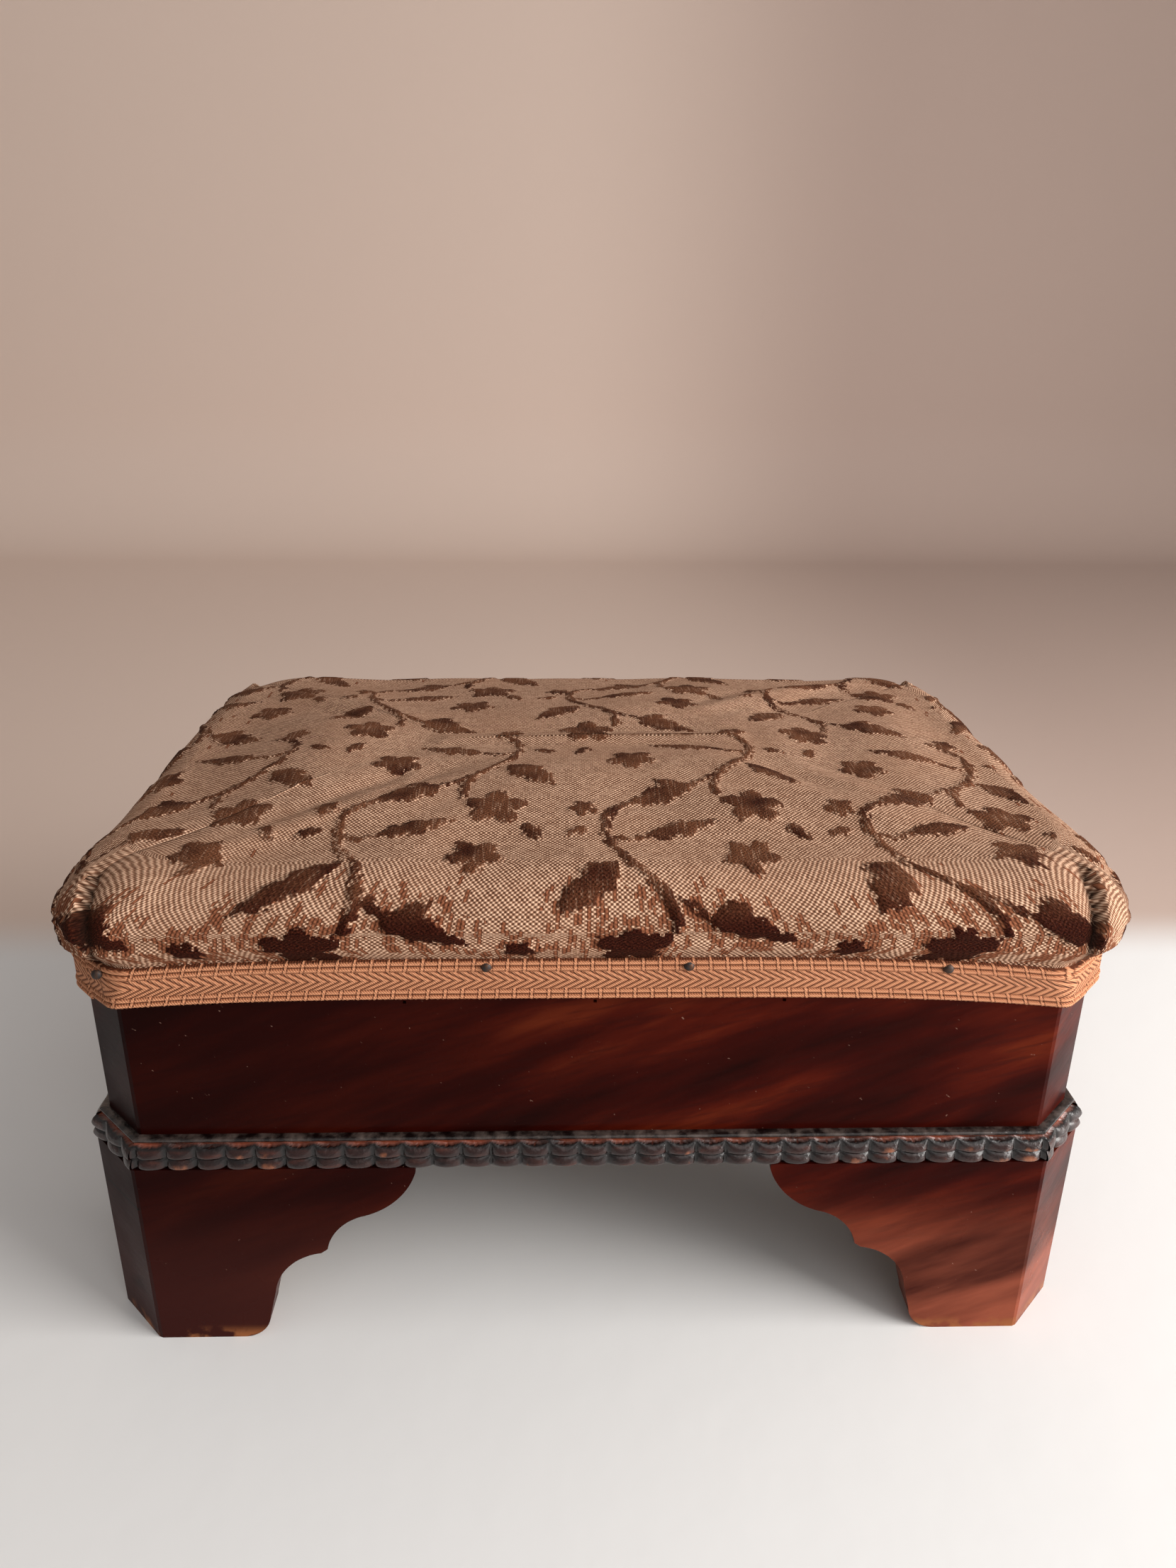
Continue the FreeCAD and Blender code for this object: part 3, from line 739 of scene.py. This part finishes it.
def softened(field, times):
    for _ in range(times):
        field = (np.roll(field, 1, 1) + np.roll(field, -1, 1) + 2 * field) / 4
        padded = np.concatenate([field[:1], field, field[-1:]])
        field = (padded[:-2] + padded[2:] + 2 * field) / 4
    return field


# Pattern of the cover


def flower(x, y, centre, size, turn):
    dx = x - centre[0]
    dy = y - centre[1]
    petals = np.abs(np.cos(2.5 * (np.arctan2(dy, dx) + turn))) ** 0.7
    return np.hypot(dx, dy) - size * (0.5 + 0.5 * petals)


def leaf(x, y, base, angle, length, width, lobes):
    c = math.cos(math.radians(angle))
    s = math.sin(math.radians(angle))
    along = (x - base[0]) * c + (y - base[1]) * s
    across = np.abs((y - base[1]) * c - (x - base[0]) * s)
    share = np.clip(along / length, 0, 1)
    notched = 0.62 + 0.38 * np.abs(np.sin(lobes * math.pi * share)) ** 0.6
    half = width / 2 * np.sin(math.pi * share ** 0.8) * notched
    past = np.maximum(np.maximum(-along, along - length), 0)
    return np.where(past > 0, np.hypot(np.maximum(across - half, 0), past), across - half)


def stem(x, y, points, width):
    nearest = np.full(x.shape, 1e3)
    for (ax, ay), (bx, by) in zip(points, points[1:]):
        share = ((x - ax) * (bx - ax) + (y - ay) * (by - ay)) / ((bx - ax) ** 2 + (by - ay) ** 2)
        share = np.clip(share, 0, 1)
        nearest = np.minimum(nearest, np.hypot(x - ax - share * (bx - ax), y - ay - share * (by - ay)))
    return nearest - width / 2


def spray(x, y):
    """Distance to one spray, less than 0 inside it. It hangs from its stem's top at 0, 0."""
    main_stem = [(6, 5), (1, 2), (-3, -4), (-3.5, -12), (-1, -22), (5, -32), (11, -40), (14, -47),
                 (14, -56)]
    shapes = [stem(x, y, main_stem, 3.0),
              stem(x, y, [(-3, -15), (4, -17), (12, -14)], 2.0),
              leaf(x, y, (10, -15), 20, 25, 9.0, 3),
              leaf(x, y, (-9, -11), 205, 9, 5, 2),
              flower(x, y, (41, -26), 9.0, 0.3),
              leaf(x, y, (0, -31), 226, 25, 12, 2),
              leaf(x, y, (-2, -40), 150, 12, 9, 2),
              leaf(x, y, (22, -49), -30, 27, 12, 3),
              leaf(x, y, (26, -52), 40, 11, 8, 2),
              stem(x, y, [(11, -40), (18, -46), (25, -51)], 2.2),
              flower(x, y, (3, -64), 10.5, 0.9),
              flower(x, y, (-26, -65), 5.0, 0.1),
              leaf(x, y, (56, -8), -62, 11, 5.5, 2)]
    return np.minimum.reduce(shapes)


def pattern(flat):
    """Distance to the nearest pile motif at points of the flat cloth."""
    nearest = np.full(len(flat), far_from_sprays)
    lowest, highest = spray_heights
    for height, offset, turned in spray_rows:
        for column in spray_columns:
            x = (flat[:, 0] - offset - column * spray_pitch) * turned
            y = flat[:, 1] - height
            close = (np.abs(x - spray_middle) < spray_half_width) & (y < highest) & (y > lowest)
            if close.any():
                nearest[close] = np.minimum(nearest[close], spray(x[close], y[close]))
    return nearest


def cushion():
    """Stuffed top with its woven cover, drawn in under the braid and folded at the corners."""
    ring, levels, points, flat, sections = seat_grid(seat_pitch)
    rough_ring, rough_levels, rough, _, rough_sections = seat_grid(simulation_pitch)
    held = 1 - 0.9 * ease(rough_sections[:, 1], braid_low + braid_width, bulge_height)
    moved = swollen(rough, held)
    across = shares(ring.place, rough_ring.place, 16.0)
    up = shares(levels, rough_levels)
    spread_out = np.einsum("ab,bcd,ec->aed", up, moved, across)
    spread_out = softened(spread_out, 6)
    level = ease(sections[:, 5], 0.5, 1.0)[:, None, None]
    points = points + spread_out + level * (spread_out.mean(1, keepdims=True) - spread_out)
    rows, columns, _ = points.shape
    along = np.roll(points, -1, 1) - np.roll(points, 1, 1)
    rise = np.gradient(points, axis=0)
    normal = np.cross(along, rise)
    normal /= np.maximum(np.linalg.norm(normal, axis=-1, keepdims=True), 1e-6)
    crown = ease(sections[:, 5], 0.0, 0.2)[:, None, None]
    normal = softened(normal, 3) * (1 - crown) + crown * np.array((0.0, 0.0, 1.0))
    stuffed = ease(points[..., 2], braid_low + braid_width + 2, bulge_height + 4)
    lumps = [noise.noise(Vector(p) / lump_size) for p in points.reshape(-1, 3)]
    push = lump_height * np.reshape(lumps, (rows, columns)) * stuffed
    push += fold_push(points, stuffed)
    distance = pattern(flat.reshape(-1, 2)).reshape(rows, columns)
    pressed = 1 - 0.5 * ease(points[..., 2], *pressed_heights)
    push += pile_height * ease(-distance, -0.3, 0.9) * stuffed * pressed
    points = points + normal * push[..., None]
    faces = grid_faces(rows, columns, True)
    faces.append([(rows - 1) * columns + i for i in range(columns)])
    values = {"pile": distance.ravel(), "worn": ease(points[..., 2], *worn_heights).ravel(),
              "slot": fold_shadow(points).ravel()}
    made = piece("cushion", points.reshape(-1, 3), faces, cover_material(), values,
                 flat.reshape(-1, 2))
    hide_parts("cover", "wadding", "stuffing", "cover_tacks")


def fold_distance(points):
    """How far each point is past the corner fold on the front and back, towards the corner."""
    past = np.abs(points[..., 0]) - fold_place
    facing = ease(np.abs(points[..., 1]), half_depth - 14, half_depth - 4)
    return past, facing


def fold_push(points, stuffed):
    """Rise of the rolled edge of each corner fold, and the dip beside it."""
    past, facing = fold_distance(points)
    begun = ease(past, -fold_edge, 1 + fold_edge)
    roll = fold_roll * np.exp(-np.maximum(past, 0) / fold_roll_reach) * begun
    dip = -fold_dip * np.exp(np.minimum(past, 0) / fold_dip_reach) * (past < fold_edge)
    low = ease(points[..., 2], 179, 170)
    return (roll + dip) * facing * low * stuffed


def fold_shadow(points):
    """How deep each point lies in the dark slot beside a corner fold."""
    past, facing = fold_distance(points)
    low = ease(points[..., 2], 176, 171)
    return np.exp(-((past + fold_edge) / fold_slot_width) ** 2) * facing * low


# Braid and pins


def braid():
    """Gimp braid with corded edges and a chevron middle, bowed along each side."""
    ring = Round(0.75)
    rows = 30
    low_cut = cant + cant_share * braid_lower_overhang
    high_cut = cant + cant_share * braid_upper_overhang + braid_upper_cut
    low, rays = ring.outline(braid_lower_overhang, low_cut, braid_lower_radius, braid_lower_narrower)
    high, _ = ring.outline(braid_upper_overhang, high_cut, braid_upper_radius, braid_upper_narrower)
    lift = braid_low + bow(low)
    step = np.linalg.norm(np.roll(low, -1, 0) - low, axis=1)
    run = np.concatenate([[0], np.cumsum(step)[:-1]])
    share = np.linspace(0, 1, rows)[:, None]
    wide = share * braid_width
    edge = np.abs(share - 0.5) * 2
    band = ease(edge, *cord_band)
    cords = np.abs(np.sin((edge - plait_share) / (1 - plait_share) * 2 * math.pi))
    picot = picot_relief * ease(edge, 0.93, 1.0) * np.sin(2 * math.pi * run[None] / picot_pitch)
    relief = cord_relief * band * cords + plait_relief * (1 - band) + picot
    plan = low[None] + (high - low)[None] * share[..., None]
    points = np.concatenate([plan + rays[None] * relief[..., None], (lift[None] + wide)[..., None]], -1)
    inner = points[[0, -1]]
    inner[..., :2] -= rays * braid_thickness
    points = np.concatenate([inner[:1], points, inner[1:]])
    flat = np.stack(np.broadcast_arrays(run[None], np.concatenate([wide[:1], wide, wide[-1:]])), -1)
    made = piece("braid", points.reshape(-1, 3), grid_faces(rows + 2, len(run), True), braid_material(),
                 flat=flat.reshape(-1, 2))
    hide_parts("gimp_braid")


def pins(material):
    """Small domed pin heads near the braid's upper edge."""
    points = []
    faces = []
    turns = np.linspace(0, 2 * math.pi, pin_sides, endpoint=False)
    face = braid_upper_overhang + pin_seat
    places = [(x, -half_depth - face, (0, -1)) for x in front_pins]
    places += [(-x, half_depth + face, (0, 1)) for x in front_pins]
    side_face = half_width + face - braid_upper_narrower
    places += [(side_face, y, (1, 0)) for y in side_pins]
    places += [(-side_face, y, (-1, 0)) for y in side_pins]
    for x, y, (nx, ny) in places:
        if abs(x) > half_width - cant and ny:
            y -= ny * corner_pin_inset
        z = braid_low + bow(np.array([(x, y)]))[0] + braid_width - pin_drop
        first = len(points)
        for radius, out in pin_dome:
            for t in turns:
                side = radius * math.cos(t)
                points.append((x - ny * side + nx * out, y + nx * side + ny * out,
                               z + radius * math.sin(t)))
        faces += [[first + f for f in quad] for quad in grid_faces(len(pin_dome), pin_sides, True)]
        faces.append(list(range(len(points) - pin_sides, len(points))))
    made = piece("pins", points, faces, material)
    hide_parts("gimp_pins")


# Carved moulding


def moulding_depth(run, height):
    """Depth of the carving from the box's face, and how much of a point is lip and is scooped out."""
    beads = lower_bead + upper_bead
    phase = (run / bead_pitch + 0.5) % 1.0 - 0.5
    barrel = np.cos(math.pi * phase) ** 0.5
    crest = beads - recess_sag * np.clip(1 - (phase / 0.44) ** 2, 0, 1)
    upper_share = np.clip((height - lower_bead) / (crest - lower_bead), 0, 1)
    row_share = np.where(height < lower_bead, height / lower_bead, upper_share)
    swell_row = np.sqrt(np.clip(1 - np.abs((row_share - 0.5) / 0.51) ** 2.6, 0, 1))
    bead = groove_depth + (bead_depth - groove_depth) * swell_row * barrel * (1.05 - 0.6 * row_share)
    lip_share = np.clip((height - beads - lip_gap) / (lip_height - lip_gap), 0, 1)
    lip = recess_depth + (lip_depth - recess_depth) * np.sqrt(np.clip(1 - (2 * lip_share - 1) ** 2, 0, 1))
    depth = np.where(height < crest, bead, np.where(height < beads + lip_gap, recess_depth, lip))
    scooped = (height >= crest) & (height < beads + lip_gap)
    return depth, (height >= beads + lip_gap).astype(float), scooped.astype(float)


def moulding(name, side, material):
    """One carved strip, mitred at both ends."""
    angle = math.radians(45) * side
    along = np.array((math.cos(angle), math.sin(angle)))
    out = np.array((math.sin(angle), -math.cos(angle)))
    if side % 2:
        half = cant / math.sqrt(2)
        middle = np.sign(out) * (half_width - cant / 2, half_depth - cant / 2)
    elif side % 4:
        half = half_depth - cant
        middle = out * half_width
    else:
        half = half_width - cant
        middle = out * half_depth
    total = lower_bead + upper_bead + lip_height
    heights = np.concatenate([[0.0], np.linspace(0.0, total, carving_levels), [total]])
    columns = max(20, round(2 * half / carving_pitch))
    share = np.linspace(-1, 1, columns)
    run = share[None] * half * np.ones((len(heights), 1))
    depth, lip, scooped = moulding_depth(run, heights[:, None] * np.ones_like(run))
    depth[0] = 0
    depth[-1] = 0
    run = share[None] * (half + depth * math.tan(math.pi / 8))
    plan = middle + along * run[..., None] + out * depth[..., None]
    rise = (foot_height + heights)[:, None, None] * np.ones((1, columns, 1))
    points = np.concatenate([plan, rise], -1)
    values = {"depth": depth.ravel(), "lip": lip.ravel(), "scooped": scooped.ravel()}
    made = piece(name + "_carving", points.reshape(-1, 3), grid_faces(len(heights), columns, False),
                 material, values)
    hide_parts(name)


# Webbing and hessian


def thin(made, thickness):
    modifier = made.modifiers.new("thickness", "SOLIDIFY")
    modifier.thickness = thickness * MM
    modifier.offset = 1.0


def straps(nodes, material):
    """Woven straps of one direction on top of the rails, passing over and under the others."""
    inner = {"webbing_lengthwise": 2 * (half_depth - rail_thickness),
             "webbing_crosswise": 2 * (half_width - rail_thickness)}
    for node in nodes:
        count = strap_counts[node]
        lengthwise = node == "webbing_lengthwise"
        other = "webbing_crosswise" if lengthwise else "webbing_lengthwise"
        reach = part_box(node)[1][0 if lengthwise else 1] / MM
        others = strap_counts[other]
        crossings = [inner[other] * ((j + 0.5) / others - 0.5) for j in range(others)]
        strips = []
        faces = []
        for i in range(count):
            middle = inner[node] * ((i + 0.5) / count - 0.5)
            run = np.linspace(-reach, reach, round(reach))
            lift = np.zeros_like(run)
            for j, place in enumerate(crossings):
                if (i + j) % 2 == lengthwise:
                    near = ease(np.abs(run - place), strap_width / 2 + strap_ramp, strap_width / 2)
                    lift = np.maximum(lift, strap_thickness * near)
            across = middle + np.linspace(-strap_width / 2, strap_width / 2, strap_stations)
            grid_run, grid_across = np.meshgrid(run, across)
            x, y = (grid_run, grid_across) if lengthwise else (grid_across, grid_run)
            height = np.broadcast_to(rail_top + lift, x.shape)
            quads = np.array(grid_faces(strap_stations, len(run), False)) + i * x.size
            faces += (quads if lengthwise else quads[:, ::-1]).tolist()
            strips.append(np.stack([x, y, height], -1).reshape(-1, 3))
        made = piece(node + "_cloth", np.concatenate(strips), faces, material)
        thin(made, strap_thickness)
        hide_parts(node)


def hessian(material):
    """Coarse sheet over the straps, with its corners cut along the canted sides."""
    low, high = [np.array(corner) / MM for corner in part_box("hessian")]
    columns, rows = hessian_stations
    x, y = np.meshgrid(np.linspace(low[0], high[0], columns), np.linspace(low[1], high[1], rows))
    past = np.abs(x) - high[0] + np.abs(y) - high[1] + cant
    cut = past > 0
    x = np.where(cut, np.sign(x) * (np.abs(x) - past / 2), x)
    y = np.where(cut, np.sign(y) * np.minimum(np.abs(y), high[0] + high[1] - cant - np.abs(x)), y)
    points = np.stack([x, y, np.full_like(x, high[2] - hessian_drop)], -1)
    made = piece("hessian_cloth", points.reshape(-1, 3), grid_faces(rows, columns, False), material)
    thin(made, hessian_thickness)
    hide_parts("hessian")


# Wooden and iron pieces of the frame


def dress(materials):
    """Gives each kept solid its slot's material, and its wooden edges a small worn bevel."""
    slots = {row["node"]: row["material_slot"] for row in frame["record"]["subparts"]}
    for node, solid in frame["nodes"].items():
        slot = slots[node]
        if slot not in materials:
            continue
        solid.data.materials.clear()
        solid.data.materials.append(materials[slot])
        if slot in ("mahogany", "cracked_mahogany"):
            solid.data.materials.append(materials["worn_edge"])
            edges = solid.modifiers.new("worn_edges", "BEVEL")
            edges.width = worn_edge_width * MM
            edges.segments = 2
            edges.limit_method = "ANGLE"
            edges.angle_limit = math.radians(22)
            edges.material = 1
            edges.harden_normals = True


# Stage


def stage():
    """Pale floor that turns warm grey behind the stool and curves up into a far wall."""
    front, back, top, half = -1500.0, 1300.0, 2500.0, 2500.0
    radius = 200.0
    profile = [(front, 0.0), (back, 0.0)]
    for angle in range(10, 91, 10):
        turn = math.radians(angle)
        profile.append((back + radius * math.sin(turn), radius * (1 - math.cos(turn))))
    profile.append((back + radius, top))
    points = [(x * MM, y * MM, z * MM) for y, z in profile for x in (-half, half)]
    faces = [(2 * i, 2 * i + 1, 2 * i + 3, 2 * i + 2) for i in range(len(profile) - 1)]
    mesh = bpy.data.meshes.new("stage")
    mesh.from_pydata(points, [], faces)
    mesh.polygons.foreach_set("use_smooth", [True] * len(faces))
    material, tree, shader = start("stage")
    place = object_place(tree)
    x, y, _ = axes(tree, place)
    # Painted shade: the warm grey darkens towards the right.
    wall = blend(tree, ramp(tree, x, -0.05, 0.5), rgb(0.70, 0.555, 0.475), rgb(0.46, 0.345, 0.295))
    colour = blend(tree, ramp(tree, y, 0.14, 0.20), rgb(0.76, 0.755, 0.75), wall)
    finish_surface(tree, shader, {"Base Color": colour, "Roughness": 0.75,
                                  "Normal": bump(tree, cloudy(tree, place, 60.0, 3.0), 0.001, 0.15)})
    mesh.materials.append(material)
    floor = bpy.data.objects.new("stage", mesh)
    bpy.context.scene.collection.objects.link(floor)


def lamp(name, place, target, size, power, colour):
    data = bpy.data.lights.new(name, "AREA")
    data.shape = "RECTANGLE"
    data.size, data.size_y = size
    data.energy = power
    data.color = colour
    made = bpy.data.objects.new(name, data)
    made.location = place
    made.rotation_euler = (Vector(target) - Vector(place)).to_track_quat("-Z", "Y").to_euler()
    bpy.context.scene.collection.objects.link(made)


def lights():
    target = (0.0, 0.0, 0.1)
    lamp("window", (1.05, -0.5, 0.5), target, size=(0.8, 0.95), power=25.0, colour=(1.0, 0.97, 0.94))
    lamp("room", (0.35, -0.85, 0.85), target, size=(0.8, 0.8), power=2.2, colour=(1.0, 0.97, 0.95))
    world = bpy.data.worlds.new("room")
    world.use_nodes = True
    tree = world.node_tree
    across = axes(tree, add(tree, "ShaderNodeTexCoord").outputs["Generated"])[0]
    level = add(tree, "ShaderNodeMapRange", {"Value": across, "From Min": -1.0, "From Max": 1.0,
                                             "To Min": 0.25, "To Max": 0.72}).outputs[0]
    finish_surface(tree, tree.nodes["Background"], {"Color": rgb(0.9, 0.88, 0.86), "Strength": level})
    bpy.context.scene.world = world


def camera():
    yaw, pitch, roll = [math.radians(v) for v in (camera_yaw, camera_pitch, camera_roll)]
    forward = Vector((math.sin(yaw) * math.cos(pitch), math.cos(yaw) * math.cos(pitch), -math.sin(pitch)))
    level = Vector((math.cos(yaw), -math.sin(yaw), 0))
    down = forward.cross(level)
    right = level * math.cos(roll) + down * math.sin(roll)
    up = -(down * math.cos(roll) - level * math.sin(roll))
    data = bpy.data.cameras.new("camera")
    data.lens = camera_lens
    data.sensor_width = camera_sensor
    data.clip_start = 0.01
    made = bpy.data.objects.new("camera", data)
    turn = Matrix((right, up, -forward)).transposed()
    made.matrix_world = Matrix.Translation(Vector(camera_place) * MM) @ turn.to_4x4()
    bpy.context.scene.collection.objects.link(made)
    bpy.context.scene.camera = made


iron = iron_material()
jute = jute_material("webbing", 2.2, rgb(0.13, 0.085, 0.045), rgb(0.42, 0.32, 0.20))
dress({"mahogany": wood_material("mahogany"), "cracked_mahogany": wood_material("cracked_mahogany", True),
       "worn_edge": worn_edge_material(), "pine": pine_material(), "tack_iron": iron})
cushion()
braid()
pins(iron)
carved = carved_material()
for number, side_name in enumerate(("front", "front_right", "right", "back_right", "back", "back_left",
                                    "left", "front_left")):
    moulding(side_name + "_moulding", number, carved)
straps(("webbing_lengthwise", "webbing_crosswise"), jute)
hessian(jute_material("hessian", 1.4, rgb(0.12, 0.08, 0.045), rgb(0.46, 0.35, 0.22)))
stage()
lights()
camera()
bpy.context.scene.view_settings.view_transform = "Standard"
